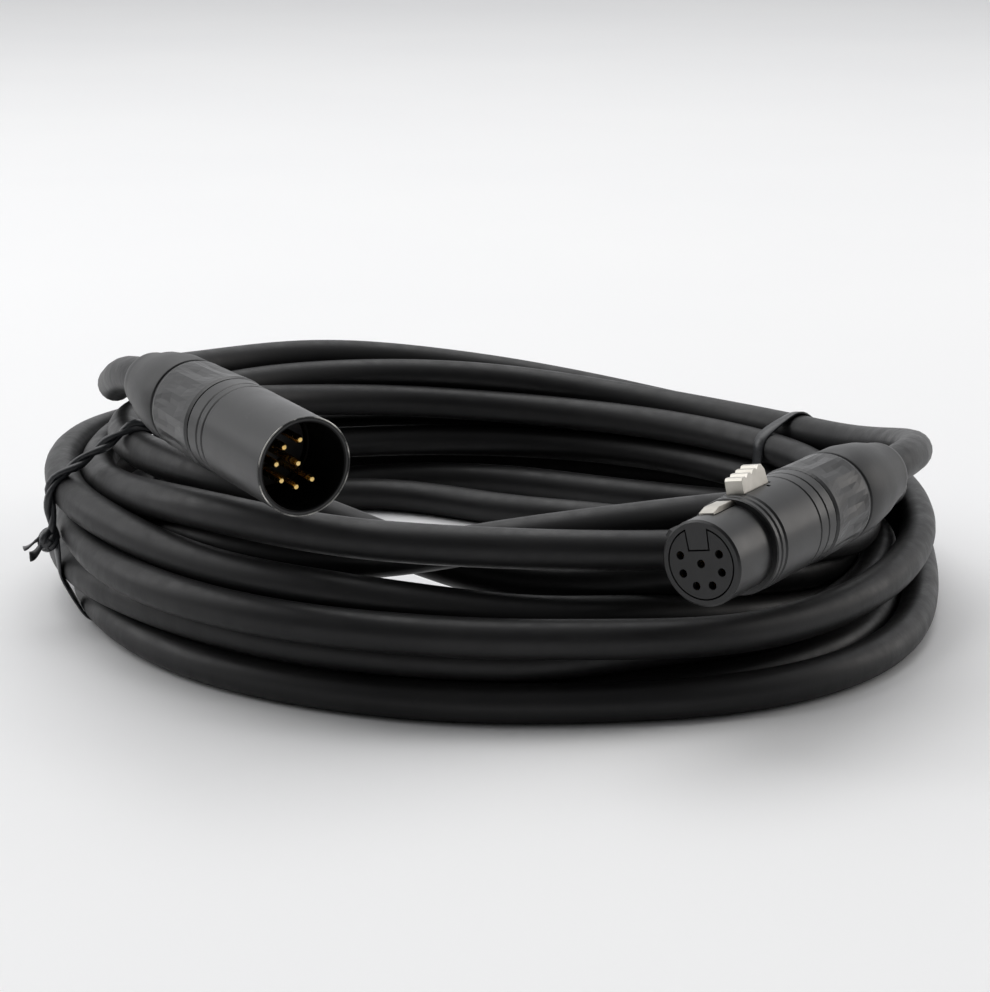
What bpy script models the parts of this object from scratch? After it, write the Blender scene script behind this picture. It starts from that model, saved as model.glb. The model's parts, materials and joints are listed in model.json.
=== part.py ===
"""A coiled seven-pin XLR cable: coil, two leads, two ties, a male plug and a latching female plug.

Metres, +Z up, standing on z = 0. Each plug is built along its own axis: local +Z points out of its
mouth, the mouth plane is z = 0 and local +Y is the key side. An empty then places it on the coil.
"""

import math

import bmesh
import bpy
from mathutils import Matrix, Vector

# ---- cable and coil
CABLE_RADIUS = 0.0040
COIL_CENTRE = (0.0025, 0.0087)
COIL_RADIUS = 0.0890
COIL_WIDTH = 0.0220
COIL_OUTER_HEIGHT = 0.0272
COIL_STEP_RISE = 0.0070
COIL_EDGE = 0.0036
COIL_SEGMENTS = 64
CLEARANCE = 0.0003

# ---- ties
TIE_WIDTH = 0.0040
TIE_THICKNESS = 0.0008
LEFT_TIE_ANGLE = math.radians(198.0)
RIGHT_TIE_ANGLE = math.radians(36.0)
KNOT_RADIUS = 0.0027
TAIL_LENGTH = 0.0062

# ---- what both plugs share
CONTACTS = 7
CONTACT_CIRCLE_RADIUS = 0.0045
CONTACT_PITCH = math.radians(45.0)
PIN_RADIUS = 0.00075
WIRE_RADIUS = 0.00055
WIRE_BUNDLE_RADIUS = 0.0022
SHOULDER = 0.0019
NECK_WALL = 0.0012
NECK_LENGTH = 0.0085
COLLAR_SWELL = 0.00025
BOOT_SPIGOT_LENGTH = 0.0030
CHUCK_LENGTH = 0.0110
FLUTES = 14
FLUTE_DEPTH = 0.00060
BOOT_TAPER = 0.0026
PLUG_SEGMENTS = 42

# ---- male plug
MALE_OFFSET = -0.0041
MALE_REACH = 0.0747
MALE_HEIGHT_OVER_COIL = 0.0274
MALE_YAW = math.radians(31.6)
MALE_PITCH = math.radians(-2.8)
MALE_ROLL = math.radians(72.5)
MALE_SHELL_RADIUS = 0.0095
MALE_SHELL_WALL = 0.0011
MALE_SHELL_LENGTH = 0.0303
MALE_SOCKET_DEPTH = 0.0150
MALE_BUSHING_LENGTH = 0.0174
MALE_BOOT_DROP = 0.0004
MALE_BOOT_LENGTH = 0.0205
PIN_RECESS = 0.0023
PIN_LENGTH = 0.0252

# ---- female plug
FEMALE_OFFSET = 0.0078
FEMALE_REACH = 0.0699
FEMALE_YAW = math.radians(-34.8)
FEMALE_PITCH = math.radians(-1.4)
FEMALE_ROLL = math.radians(-11.0)
NOSE_RADIUS = 0.0083
NOSE_WALL = 0.0013
NOSE_LENGTH = 0.0121
FLANGE_RISE = 0.0012
FLANGE_LENGTH = 0.0032
FEMALE_SHELL_RISE = 0.0013
FEMALE_SHELL_LENGTH = 0.0352
FEMALE_BUSHING_LENGTH = 0.0149
FEMALE_BOOT_DROP = 0.0001
FEMALE_BOOT_LENGTH = 0.0230
INSERT_LENGTH = 0.0220
KEY_WIDTH = 0.0042
KEY_INNER = 0.0027
KEY_DEPTH = 0.0080
RIB_ANGLE = math.radians(47.0)

# ---- latch
TONGUE_WIDTH = 0.0032
TONGUE_FRONT = 0.0045
TONGUE_LIP = 0.0005
PAD_WIDTH = 0.0038
PAD_LENGTH = 0.0094
PAD_RISE = 0.0041
PAD_CLIMB = 0.0010
PAD_RIDGES = 4
LATCH_DROP = 0.0002
LATCH_PLATE = 0.0006
BRIDGE = 0.0005
PIVOT_RADIUS = 0.00040
PIVOT_RISE = 0.0003
PIVOT_BOSS = 0.00115
SPRING_WIDTH = 0.0018
SPRING_LENGTH = 0.0040
SPRING_STRIP = 0.00022

# ---- sizes that follow from those above
COIL_INNER_RADIUS = COIL_RADIUS - COIL_WIDTH / 2
COIL_OUTER_RADIUS = COIL_RADIUS + COIL_WIDTH / 2
COIL_STEP_WIDTH = 2 * CABLE_RADIUS + 0.0002
FLANGE_RADIUS = NOSE_RADIUS + FLANGE_RISE
FEMALE_SHELL_RADIUS = NOSE_RADIUS + FEMALE_SHELL_RISE
MALE_NECK_RADIUS = MALE_SHELL_RADIUS - SHOULDER
FEMALE_NECK_RADIUS = FEMALE_SHELL_RADIUS - SHOULDER
FEMALE_BUSHING_RADIUS = FEMALE_SHELL_RADIUS + COLLAR_SWELL
FEMALE_HEIGHT = COIL_OUTER_HEIGHT + FEMALE_BUSHING_RADIUS + CLEARANCE
MALE_HEIGHT = COIL_OUTER_HEIGHT + MALE_HEIGHT_OVER_COIL
FEMALE_LENGTH = FEMALE_SHELL_LENGTH + FEMALE_BUSHING_LENGTH + FEMALE_BOOT_LENGTH + 2 * CLEARANCE
MALE_LENGTH = MALE_SHELL_LENGTH + MALE_BUSHING_LENGTH + MALE_BOOT_LENGTH + 2 * CLEARANCE
WIRE_SPAN = 0.0078
PIN_REAR = PIN_RECESS + PIN_LENGTH
CONTACT_FRONT = 0.0016
CONTACT_REAR = CONTACT_FRONT + 0.0240
MALE_JACKET_END = PIN_REAR + WIRE_SPAN + 2 * CLEARANCE
FEMALE_JACKET_END = CONTACT_REAR + WIRE_SPAN + 2 * CLEARANCE
LATCH_UNDERSIDE = NOSE_RADIUS - LATCH_DROP
PAD_FRONT_TOP = NOSE_RADIUS + PAD_RISE
PAD_TOP = PAD_FRONT_TOP + PAD_CLIMB
PAD_START = NOSE_LENGTH + FLANGE_LENGTH + CLEARANCE
PAD_REAR = PAD_START + PAD_LENGTH
PIVOT_SETBACK = PAD_REAR - 0.0018
PIVOT_HEIGHT = NOSE_RADIUS + PIVOT_RISE
PIVOT = Vector((0.0, PIVOT_HEIGHT, -PIVOT_SETBACK))


# ---------------------------------------------------------------- helpers


def clear_scene():
    for obj in list(bpy.data.objects):
        bpy.data.objects.remove(obj, do_unlink=True)


def make_material(name, colour, roughness, metallic=0.0):
    material = bpy.data.materials.new(name)
    material.use_nodes = True
    shader = material.node_tree.nodes["Principled BSDF"]
    shader.inputs["Base Color"].default_value = (*colour, 1.0)
    shader.inputs["Roughness"].default_value = roughness
    shader.inputs["Metallic"].default_value = metallic
    return material


def link(name, data, material, parent=None):
    obj = bpy.data.objects.new(name, data)
    bpy.context.scene.collection.objects.link(obj)
    obj.data.materials.append(material)
    obj.parent = parent
    return obj


def mesh_object(name, bm, material, parent=None):
    bmesh.ops.recalc_face_normals(bm, faces=bm.faces)
    mesh = bpy.data.meshes.new(name)
    bm.to_mesh(mesh)
    bm.free()
    mesh.shade_smooth()
    mesh.set_sharp_from_angle(angle=math.radians(35.0))
    return link(name, mesh, material, parent)


def turned_mesh(profile, segments=PLUG_SEGMENTS):
    """A profile of (radius, z) points, closed on itself or ending on the axis, spun about local Z."""
    bm = bmesh.new()
    points = [bm.verts.new((radius, 0.0, z)) for radius, z in profile]
    on_axis = profile[0][0] == 0.0 and profile[-1][0] == 0.0
    count = len(points)
    pairs = range(count - 1) if on_axis else range(count)
    edges = [bm.edges.new((points[i], points[(i + 1) % count])) for i in pairs]
    bmesh.ops.spin(
        bm,
        geom=points + edges,
        cent=(0.0, 0.0, 0.0),
        axis=(0.0, 0.0, 1.0),
        angle=2.0 * math.pi,
        steps=segments,
        use_merge=True,
    )
    bmesh.ops.remove_doubles(bm, verts=bm.verts, dist=1e-7)
    return bm


def turned(name, profile, material, parent=None, segments=PLUG_SEGMENTS):
    return mesh_object(name, turned_mesh(profile, segments), material, parent)


def box_mesh(low, high):
    bm = bmesh.new()
    bmesh.ops.create_cube(bm, size=1.0)
    size = Vector(high) - Vector(low)
    middle = (Vector(high) + Vector(low)) / 2.0
    bmesh.ops.transform(bm, matrix=Matrix.Translation(middle) @ Matrix.Diagonal((*size, 1.0)), verts=bm.verts)
    return bm


def prism_mesh(outline, low, high, axis):
    """A flat outline of (u, v) points, drawn out along X ('x': u is y, v is z) or Z ('z': u is x, v is y)."""
    bm = bmesh.new()
    place = (lambda u, v, w: (w, u, v)) if axis == "x" else (lambda u, v, w: (u, v, w))
    face = bm.faces.new([bm.verts.new(place(u, v, low)) for u, v in outline])
    grown = bmesh.ops.extrude_face_region(bm, geom=[face])
    moved = [item for item in grown["geom"] if isinstance(item, bmesh.types.BMVert)]
    bmesh.ops.translate(bm, verts=moved, vec=Vector(place(0.0, 0.0, high - low)))
    return bm


def boolean(obj, helper_bm, operation, label, material):
    """Adds or cuts a helper shape. The helper stays in the file, hidden from renders."""
    helper = mesh_object(f"{obj.name}_{label}", helper_bm, material, obj.parent)
    helper.hide_render = True
    helper.display_type = "WIRE"
    modifier = obj.modifiers.new(label, "BOOLEAN")
    modifier.operation = operation
    modifier.object = helper


def lathe_circle(radius, low, high):
    return [(0.0, low), (radius, low), (radius, high), (0.0, high)]


def shifted(bm, x, y, z=0.0):
    bmesh.ops.translate(bm, verts=bm.verts, vec=(x, y, z))
    return bm


def smooth_route(points, spacing):
    """A Catmull-Rom curve through the points, read at an even spacing."""
    knots = [Vector(p) for p in points]
    knots = [2 * knots[0] - knots[1]] + knots + [2 * knots[-1] - knots[-2]]
    fine = []
    steps = 24
    for a, b, c, d in zip(knots, knots[1:], knots[2:], knots[3:]):
        for k in range(steps):
            t = k / steps
            square = 2 * a - 5 * b + 4 * c - d
            cube = 3 * b - a - 3 * c + d
            fine.append(0.5 * (2 * b + (c - a) * t + square * t**2 + cube * t**3))
    fine.append(knots[-2])
    lengths = [0.0]
    for a, b in zip(fine, fine[1:]):
        lengths.append(lengths[-1] + (b - a).length)
    count = max(2, round(lengths[-1] / spacing))
    even = []
    index = 0
    for k in range(count + 1):
        target = lengths[-1] * k / count
        while index < len(fine) - 2 and lengths[index + 1] < target:
            index += 1
        span = lengths[index + 1] - lengths[index]
        even.append(fine[index].lerp(fine[index + 1], (target - lengths[index]) / span))
    return even


def tube(name, points, radius, material, parent=None, sides=2):
    curve = bpy.data.curves.new(name, "CURVE")
    curve.dimensions = "3D"
    curve.bevel_depth = radius
    curve.bevel_resolution = sides
    curve.use_fill_caps = True
    spline = curve.splines.new("POLY")
    spline.points.add(len(points) - 1)
    for point, place in zip(spline.points, points):
        point.co = (*place, 1.0)
    return link(name, curve, material, parent)


# ---------------------------------------------------------------- places


def coil_point(angle, radius, height):
    return Vector(
        (
            COIL_CENTRE[0] + radius * math.cos(angle),
            COIL_CENTRE[1] + radius * math.sin(angle),
            height,
        )
    )


def plug_matrix(offset, reach, height, yaw, pitch, roll):
    """Where a plug lies. Seen from above, its axis passes the coil's centre at the coil's radius plus
    the offset, and its mouth is one reach further on. Yaw turns the way out from -Y towards +X, and
    roll turns the key side clockwise."""
    ahead = Vector((math.sin(yaw), -math.cos(yaw), 0.0))
    outward = Vector((math.cos(yaw), math.sin(yaw), 0.0)) * math.copysign(1.0, -yaw)
    mouth = coil_point(0.0, 0.0, height) + outward * (COIL_RADIUS + offset) + ahead * reach
    forward = ahead * math.cos(pitch) + Vector((0.0, 0.0, math.sin(pitch)))
    up = (Vector((0.0, 0.0, 1.0)) - forward * forward.z).normalized()
    side = up.cross(forward)
    key = math.cos(roll) * up + math.sin(roll) * side
    turn = Matrix((key.cross(forward), key, forward)).transposed()
    return Matrix.Translation(mouth) @ turn.to_4x4()


def plug_empty(name, matrix):
    empty = bpy.data.objects.new(name, None)
    bpy.context.scene.collection.objects.link(empty)
    empty.matrix_world = matrix
    return empty


MALE_MATRIX = plug_matrix(MALE_OFFSET, MALE_REACH, MALE_HEIGHT, MALE_YAW, MALE_PITCH, MALE_ROLL)
FEMALE_MATRIX = plug_matrix(
    FEMALE_OFFSET, FEMALE_REACH, FEMALE_HEIGHT, FEMALE_YAW, FEMALE_PITCH, FEMALE_ROLL
)


def contact_places():
    """Six contacts round the circle, clear of the key side, then the one at the centre."""
    first = math.pi / 2 - (CONTACTS - 2) * CONTACT_PITCH / 2 + math.pi
    ring = [first + k * CONTACT_PITCH for k in range(CONTACTS - 1)]
    places = [(CONTACT_CIRCLE_RADIUS, angle) for angle in ring]
    return places + [(0.0, 0.0)]


def polar(radius, angle):
    return radius * math.cos(angle), radius * math.sin(angle)


# ---------------------------------------------------------------- coil, leads, ties


def coil_profile():
    """The wound stack's section: the inner column stands one step higher than the outer one."""
    inner = COIL_INNER_RADIUS
    outer = COIL_OUTER_RADIUS
    step = inner + COIL_STEP_WIDTH
    low = COIL_OUTER_HEIGHT
    high = COIL_OUTER_HEIGHT + COIL_STEP_RISE
    edge = COIL_EDGE
    return [
        (outer - edge, 0.0),
        (outer, edge),
        (outer, low - edge),
        (outer - edge, low),
        (step, low),
        (step, high - edge / 2),
        (step - edge / 2, high),
        (inner + edge / 2, high),
        (inner, high - edge / 2),
        (inner, edge),
        (inner + edge, 0.0),
    ]


def tie_path(gap):
    """The section's outline, stepped out by a gap, as (radius, height) points round the stack."""
    inner = COIL_INNER_RADIUS - gap
    outer = COIL_OUTER_RADIUS + gap
    step = COIL_INNER_RADIUS + COIL_STEP_WIDTH + gap
    low = COIL_OUTER_HEIGHT + gap
    high = COIL_OUTER_HEIGHT + COIL_STEP_RISE + gap
    mitre = gap * math.tan(math.radians(22.5))
    base = TIE_THICKNESS + 2 * CLEARANCE - gap
    slant = base + gap * math.sqrt(2.0)
    wide = COIL_EDGE
    narrow = COIL_EDGE / 2
    return [
        (COIL_OUTER_RADIUS - wide + slant, base),
        (outer, wide - mitre),
        (outer, low - gap - wide + mitre),
        (COIL_OUTER_RADIUS - wide + mitre, low),
        (step, low),
        (step, high - gap - narrow + mitre),
        (step - gap - narrow + mitre, high),
        (COIL_INNER_RADIUS + narrow - mitre, high),
        (inner, high - gap - narrow + mitre),
        (inner, wide - mitre),
        (COIL_INNER_RADIUS + wide - slant, base),
    ]


def tie_mesh(angle):
    """A flat ribbon closed round the stack, in the plane that holds the coil's axis."""
    near = tie_path(CLEARANCE)
    far = tie_path(CLEARANCE + TIE_THICKNESS)
    along = Vector((-math.sin(angle), math.cos(angle), 0.0)) * TIE_WIDTH / 2
    bm = bmesh.new()
    rings = []
    for inside, outside in zip(near, far):
        corners = []
        for (radius, height), side in ((inside, -1), (inside, 1), (outside, 1), (outside, -1)):
            corners.append(bm.verts.new(coil_point(angle, radius, height) + along * side))
        rings.append(corners)
    for ring, after in zip(rings, rings[1:] + rings[:1]):
        for k in range(4):
            bm.faces.new((ring[k], ring[(k + 1) % 4], after[(k + 1) % 4], after[k]))
    return bm


def knot_place(angle):
    return coil_point(angle, COIL_OUTER_RADIUS + CLEARANCE + KNOT_RADIUS + 0.0001, COIL_OUTER_HEIGHT * 0.66)


def knot_mesh(angle):
    bm = bmesh.new()
    place = Matrix.Translation(knot_place(angle)) @ Matrix.Rotation(0.4, 4, "X")
    bmesh.ops.create_icosphere(bm, subdivisions=2, radius=KNOT_RADIUS, matrix=place)
    return bm


def tail_mesh(angle, droop, aside):
    """One end of the ribbon, leaving the knot outwards and down, a little to one side of the other."""
    outward = Vector((math.cos(angle), math.sin(angle), 0.0))
    along = Vector((-math.sin(angle), math.cos(angle), 0.0))
    start = knot_place(angle) + along * aside
    direction = (outward + along * aside * 60.0 + Vector((0.0, 0.0, droop))).normalized()
    bm = bmesh.new()
    turn = direction.to_track_quat("Z", "Y").to_matrix().to_4x4()
    place = Matrix.Translation(start + direction * (TAIL_LENGTH / 2)) @ turn
    bmesh.ops.create_cone(
        bm,
        cap_ends=True,
        segments=6,
        radius1=KNOT_RADIUS * 0.28,
        radius2=KNOT_RADIUS * 0.62,
        depth=TAIL_LENGTH,
        matrix=place,
    )
    return bm


def build_coil(materials):
    coil = turned("coil", coil_profile(), materials["cable"], segments=COIL_SEGMENTS)
    coil.location = (*COIL_CENTRE, 0.0)
    groove = TIE_THICKNESS + 3 * CLEARANCE
    reach = COIL_OUTER_RADIUS + 0.005
    start = COIL_INNER_RADIUS - 0.005
    half = TIE_WIDTH / 2 + CLEARANCE
    for label, angle in (("left_groove", LEFT_TIE_ANGLE), ("right_groove", RIGHT_TIE_ANGLE)):
        cutter = box_mesh((start, -half, -0.002), (reach, half, groove))
        turn = Matrix.Translation((*COIL_CENTRE, 0.0)) @ Matrix.Rotation(angle, 4, "Z")
        bmesh.ops.transform(cutter, matrix=turn, verts=cutter.verts)
        boolean(coil, cutter, "DIFFERENCE", label, materials["cable"])


def lead_route(matrix, start_z, length, tail):
    """Straight through the plug from its jacket end, then the chosen points down to the coil."""
    depths = (start_z, (start_z - length) / 2, -length, -length - 0.006)
    inside = [matrix @ Vector((0.0, 0.0, z)) for z in depths]
    resting = [
        coil_point(math.radians(angle), COIL_RADIUS + offset, COIL_OUTER_HEIGHT + rise)
        for angle, offset, rise in tail
    ]
    return smooth_route(inside + resting, 2.4 * CABLE_RADIUS)


MALE_LEAD_TAIL = [
    (195.0, -0.0055, 0.0262),
    (187.0, -0.0055, 0.0228),
    (179.0, -0.0064, 0.0196),
    (170.0, -0.0070, 0.0163),
    (161.0, -0.0069, 0.0137),
    (153.0, -0.0069, 0.0124),
]
FEMALE_LEAD_TAIL = [
    (-17.0, 0.0075, 0.0105),
    (-8.0, 0.0070, 0.0088),
    (2.0, 0.0050, 0.0066),
    (11.0, 0.0045, 0.0052),
]


def build_leads(materials):
    male = lead_route(MALE_MATRIX, -MALE_JACKET_END, MALE_LENGTH, MALE_LEAD_TAIL)
    female = lead_route(FEMALE_MATRIX, -FEMALE_JACKET_END, FEMALE_LENGTH, FEMALE_LEAD_TAIL)
    tube("male_lead", male, CABLE_RADIUS, materials["cable"], sides=3)
    tube("female_lead", female, CABLE_RADIUS, materials["cable"], sides=3)


def build_ties(materials):
    left = mesh_object("left_tie", tie_mesh(LEFT_TIE_ANGLE), materials["tie"])
    boolean(left, knot_mesh(LEFT_TIE_ANGLE), "UNION", "knot", materials["tie"])
    boolean(left, tail_mesh(LEFT_TIE_ANGLE, -0.10, 0.0008), "UNION", "tail_high", materials["tie"])
    boolean(left, tail_mesh(LEFT_TIE_ANGLE, -0.80, -0.0009), "UNION", "tail_low", materials["tie"])
    mesh_object("right_tie", tie_mesh(RIGHT_TIE_ANGLE), materials["tie"])


# ---------------------------------------------------------------- pieces that both plugs have


def bushing_mesh(front, length, radius, rear_radius, bore):
    """A collar whose outer wall dips into shallow, lens-shaped flutes."""
    levels = (0.0, 0.05, 0.16, 0.36, 0.58, 0.80, 0.92, 1.0)
    bm = bmesh.new()
    segments = FLUTES * 4
    rings = []
    for level in levels:
        base = radius + (rear_radius - radius) * level
        swell = math.sin(math.pi * min(1.0, max(0.0, (level - 0.10) / 0.82)))
        if level in (0.0, 1.0):
            base -= 0.0003
        ring = []
        for k in range(segments):
            angle = 2 * math.pi * k / segments
            dip = FLUTE_DEPTH * swell * (0.5 + 0.5 * math.cos(FLUTES * angle))
            x, y = polar(base - dip, angle)
            ring.append(bm.verts.new((x, y, -front - level * length)))
        rings.append(ring)
    for z in (-front - length, -front):
        ring = []
        for k in range(segments):
            x, y = polar(bore, 2 * math.pi * k / segments)
            ring.append(bm.verts.new((x, y, z)))
        rings.append(ring)
    for ring, after in zip(rings, rings[1:] + rings[:1]):
        for k in range(segments):
            bm.faces.new((ring[k], ring[(k + 1) % segments], after[(k + 1) % segments], after[k]))
    return bm


def boot_profile(front, length, radius, spigot):
    """A sleeve that narrows to a rounded rear end, with a spigot that goes into the bushing."""
    bore = CABLE_RADIUS + CLEARANCE
    rear = front + length
    end_radius = bore + 0.0010
    rear_radius = radius - BOOT_TAPER
    turn = 0.0034
    rounding = []
    for k in range(1, 6):
        angle = math.radians(90.0) * k / 6
        rounding.append(
            (
                end_radius + (rear_radius - end_radius) * math.cos(angle),
                -(rear - turn) - turn * math.sin(angle),
            )
        )
    return (
        [
            (spigot - 0.0014, -front + BOOT_SPIGOT_LENGTH),
            (spigot, -front + BOOT_SPIGOT_LENGTH),
            (spigot, -front),
            (radius - 0.0002, -front),
            (radius, -front - 0.0004),
            (radius - 0.0001, -front - length * 0.30),
            (radius - BOOT_TAPER * 0.40, -front - length * 0.58),
            (rear_radius, -(rear - turn)),
        ]
        + rounding
        + [
            (end_radius, -rear),
            (bore, -rear),
            (bore, -front - length * 0.45),
            (spigot - 0.0014, -front - 0.0015),
        ]
    )


def build_rear(prefix, parent, shell, neck, bushing_length, boot, jacket_end, materials):
    """Bushing, boot and chuck, in order behind the shell. They share one turning axis."""
    shell_radius, front = shell
    bushing_radius = shell_radius + COLLAR_SWELL
    boot_length, boot_radius = boot
    bushing_front = front + CLEARANCE
    boot_front = bushing_front + bushing_length + CLEARANCE
    collar = bushing_mesh(
        bushing_front,
        bushing_length,
        bushing_radius,
        boot_radius + 0.0001,
        neck + CLEARANCE,
    )
    mesh_object(f"{prefix}_bushing", collar, materials["housing"], parent)
    sleeve = boot_profile(boot_front, boot_length, boot_radius, neck)
    turned(f"{prefix}_boot", sleeve, materials["boot"], parent)
    bore = CABLE_RADIUS + CLEARANCE
    outer = neck - NECK_WALL - CLEARANCE
    start = jacket_end + CLEARANCE
    chuck = turned(
        f"{prefix}_chuck",
        [
            (bore, -start - CHUCK_LENGTH),
            (bore, -start),
            (outer, -start),
            (outer, -start - CHUCK_LENGTH * 0.7),
            (outer - 0.0007, -start - CHUCK_LENGTH),
        ],
        materials["chuck"],
        parent,
        segments=24,
    )
    for k, (wide, deep) in enumerate(((0.0006, 0.02), (0.02, 0.0006))):
        low = (-wide / 2, -deep / 2, -start - CHUCK_LENGTH - 0.001)
        high = (wide / 2, deep / 2, -start - CHUCK_LENGTH * 0.45)
        boolean(chuck, box_mesh(low, high), "DIFFERENCE", f"slot_{k + 1}", materials["chuck"])


def build_wires(prefix, parent, rear, materials):
    """One insulated conductor from each contact's solder cup to the cable's cut end."""
    start = rear + CLEARANCE
    for k, (radius, angle) in enumerate(contact_places()):
        tight = WIRE_BUNDLE_RADIUS if radius else 0.0
        route = []
        for share in (0.0, 0.18, 0.40, 0.62, 0.84, 1.0):
            ease = share * share * (3 - 2 * share)
            x, y = polar(radius + (tight - radius) * ease, angle)
            route.append((x, y, -start - share * (WIRE_SPAN - CLEARANCE)))
        tube(f"{prefix}_wire_{k + 1}", route, WIRE_RADIUS, materials["wire"], parent, sides=1)


# ---------------------------------------------------------------- male plug


def male_shell_profile():
    """Mouth, barrel with two ring grooves, neck for the bushing, and the stepped bore, one closed line."""
    outer = MALE_SHELL_RADIUS
    bore = outer - MALE_SHELL_WALL
    length = MALE_SHELL_LENGTH
    seat = MALE_NECK_RADIUS + CLEARANCE
    grooves = []
    for distance in (6.3, 4.0):
        place = -(length - distance * 0.001)
        grooves += [
            (outer, place + 0.0003),
            (outer - 0.0003, place),
            (outer, place - 0.0003),
        ]
    return (
        [(bore, 0.0), (outer - 0.0002, 0.0), (outer, -0.0002)]
        + grooves
        + [
            (outer, -length),
            (MALE_NECK_RADIUS, -length),
            (MALE_NECK_RADIUS, -length - NECK_LENGTH),
            (MALE_NECK_RADIUS - NECK_WALL, -length - NECK_LENGTH),
            (MALE_NECK_RADIUS - NECK_WALL, -MALE_SOCKET_DEPTH - 0.0095),
            (seat, -MALE_SOCKET_DEPTH - 0.0095),
            (seat, -MALE_SOCKET_DEPTH + 0.0008),
            (bore, -MALE_SOCKET_DEPTH + 0.0010),
        ]
    )


def build_male(materials):
    axis = plug_empty("male_axis", MALE_MATRIX)
    turned("male_shell", male_shell_profile(), materials["housing"], axis)
    insert_front = MALE_SOCKET_DEPTH
    insert = turned(
        "male_insert",
        lathe_circle(MALE_NECK_RADIUS, -insert_front - 0.0092, -insert_front),
        materials["insert"],
        axis,
    )
    for k, (radius, angle) in enumerate(contact_places()):
        x, y = polar(radius, angle)
        drill = turned_mesh(lathe_circle(PIN_RADIUS + CLEARANCE, -0.03, -0.01), 12)
        boolean(insert, shifted(drill, x, y), "DIFFERENCE", f"hole_{k + 1}", materials["insert"])
        pin = turned(
            f"male_pin_{k + 1}",
            [
                (0.0, -PIN_RECESS),
                (PIN_RADIUS * 0.6, -PIN_RECESS - 0.0001),
                (PIN_RADIUS, -PIN_RECESS - 0.0006),
                (PIN_RADIUS, -PIN_REAR),
                (PIN_RADIUS * 0.6, -PIN_REAR),
                (PIN_RADIUS * 0.6, -PIN_REAR + 0.0020),
                (0.0, -PIN_REAR + 0.0020),
            ],
            materials["gold"],
            axis,
            segments=10,
        )
        pin.location = (x, y, 0.0)
    build_wires("male", axis, PIN_REAR, materials)
    build_rear(
        "male",
        axis,
        (MALE_SHELL_RADIUS, MALE_SHELL_LENGTH),
        MALE_NECK_RADIUS,
        MALE_BUSHING_LENGTH,
        (MALE_BOOT_LENGTH, MALE_SHELL_RADIUS - MALE_BOOT_DROP),
        MALE_JACKET_END,
        materials,
    )


# ---------------------------------------------------------------- female plug


def female_shell_profile():
    """Nose, double-ridged flange, barrel with two ring grooves, neck, and the straight bore."""
    nose = NOSE_RADIUS
    outer = FEMALE_SHELL_RADIUS
    bore = nose - NOSE_WALL
    length = FEMALE_SHELL_LENGTH
    flange_rear = NOSE_LENGTH + FLANGE_LENGTH
    grooves = []
    for distance in (6.1, 2.9):
        place = -(length - distance * 0.001)
        grooves += [(outer, place + 0.0003), (outer - 0.0003, place), (outer, place - 0.0003)]
    return (
        [
            (bore, 0.0),
            (nose - 0.0004, 0.0),
            (nose, -0.0004),
            (nose, -NOSE_LENGTH),
            (FLANGE_RADIUS - 0.0002, -NOSE_LENGTH),
            (FLANGE_RADIUS, -NOSE_LENGTH - 0.0003),
            (FLANGE_RADIUS, -NOSE_LENGTH - 0.0012),
            (FLANGE_RADIUS - 0.0003, -NOSE_LENGTH - 0.0016),
            (FLANGE_RADIUS, -NOSE_LENGTH - 0.0020),
            (FLANGE_RADIUS, -flange_rear + 0.0003),
            (FLANGE_RADIUS - 0.0003, -flange_rear),
            (outer, -flange_rear - 0.0005),
        ]
        + grooves
        + [
            (outer, -length),
            (FEMALE_NECK_RADIUS, -length),
            (FEMALE_NECK_RADIUS, -length - NECK_LENGTH),
            (FEMALE_NECK_RADIUS - NECK_WALL, -length - NECK_LENGTH),
            (FEMALE_NECK_RADIUS - NECK_WALL, -INSERT_LENGTH - 0.0006),
            (bore, -INSERT_LENGTH - 0.0006),
        ]
    )


def key_outline(width, inner, outer):
    """The key's section across the plug: a little wider at the rim than at its foot."""
    return [
        (-width * 0.48, inner),
        (width * 0.48, inner),
        (width * 0.54, outer),
        (-width * 0.54, outer),
    ]


def tongue_outline():
    """The tongue from the side, as (height, setback): front lip, raised flat, plate under the flange."""
    low = LATCH_UNDERSIDE
    plate = low + LATCH_PLATE
    top = plate + TONGUE_LIP
    step = NOSE_LENGTH - 0.0005
    return [
        (low, -TONGUE_FRONT),
        (low + 0.0004, -TONGUE_FRONT),
        (top - 0.0002, -TONGUE_FRONT - 0.0017),
        (top, -TONGUE_FRONT - 0.0021),
        (top, -step + 0.0004),
        (plate, -step),
        (plate, -PAD_START - 0.0015),
        (low, -PAD_START - 0.0015),
    ]


def pad_outline():
    """The thumb pad from the side: rounded front, ridges that climb to the rear, and the boss for the pin."""
    boss = PIVOT_HEIGHT - PIVOT_BOSS
    run = (PAD_LENGTH - 0.0010) / PAD_RIDGES
    climb = (PAD_TOP - PAD_FRONT_TOP) / (PAD_RIDGES - 1)
    outline = [(LATCH_UNDERSIDE, -PAD_START), (PAD_FRONT_TOP - 0.0005, -PAD_START)]
    for k in range(PAD_RIDGES):
        level = PAD_FRONT_TOP + climb * k
        start = -PAD_START - run * k
        outline += [
            (level, start - run * 0.22),
            (level, start - run * 0.68),
            (level - 0.0004, start - run * 0.84),
        ]
    outline += [
        (PAD_TOP - 0.0012, -PAD_REAR + 0.0006),
        (PAD_TOP - 0.0030, -PAD_REAR + 0.0002),
        (PIVOT_HEIGHT + PIVOT_BOSS, -PAD_REAR),
        (PIVOT_HEIGHT, -PAD_REAR),
        (boss, -PIVOT_SETBACK - 0.0006),
        (boss, -PIVOT_SETBACK + 0.0009),
        (LATCH_UNDERSIDE, -PIVOT_SETBACK + 0.0024),
    ]
    return outline


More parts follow.
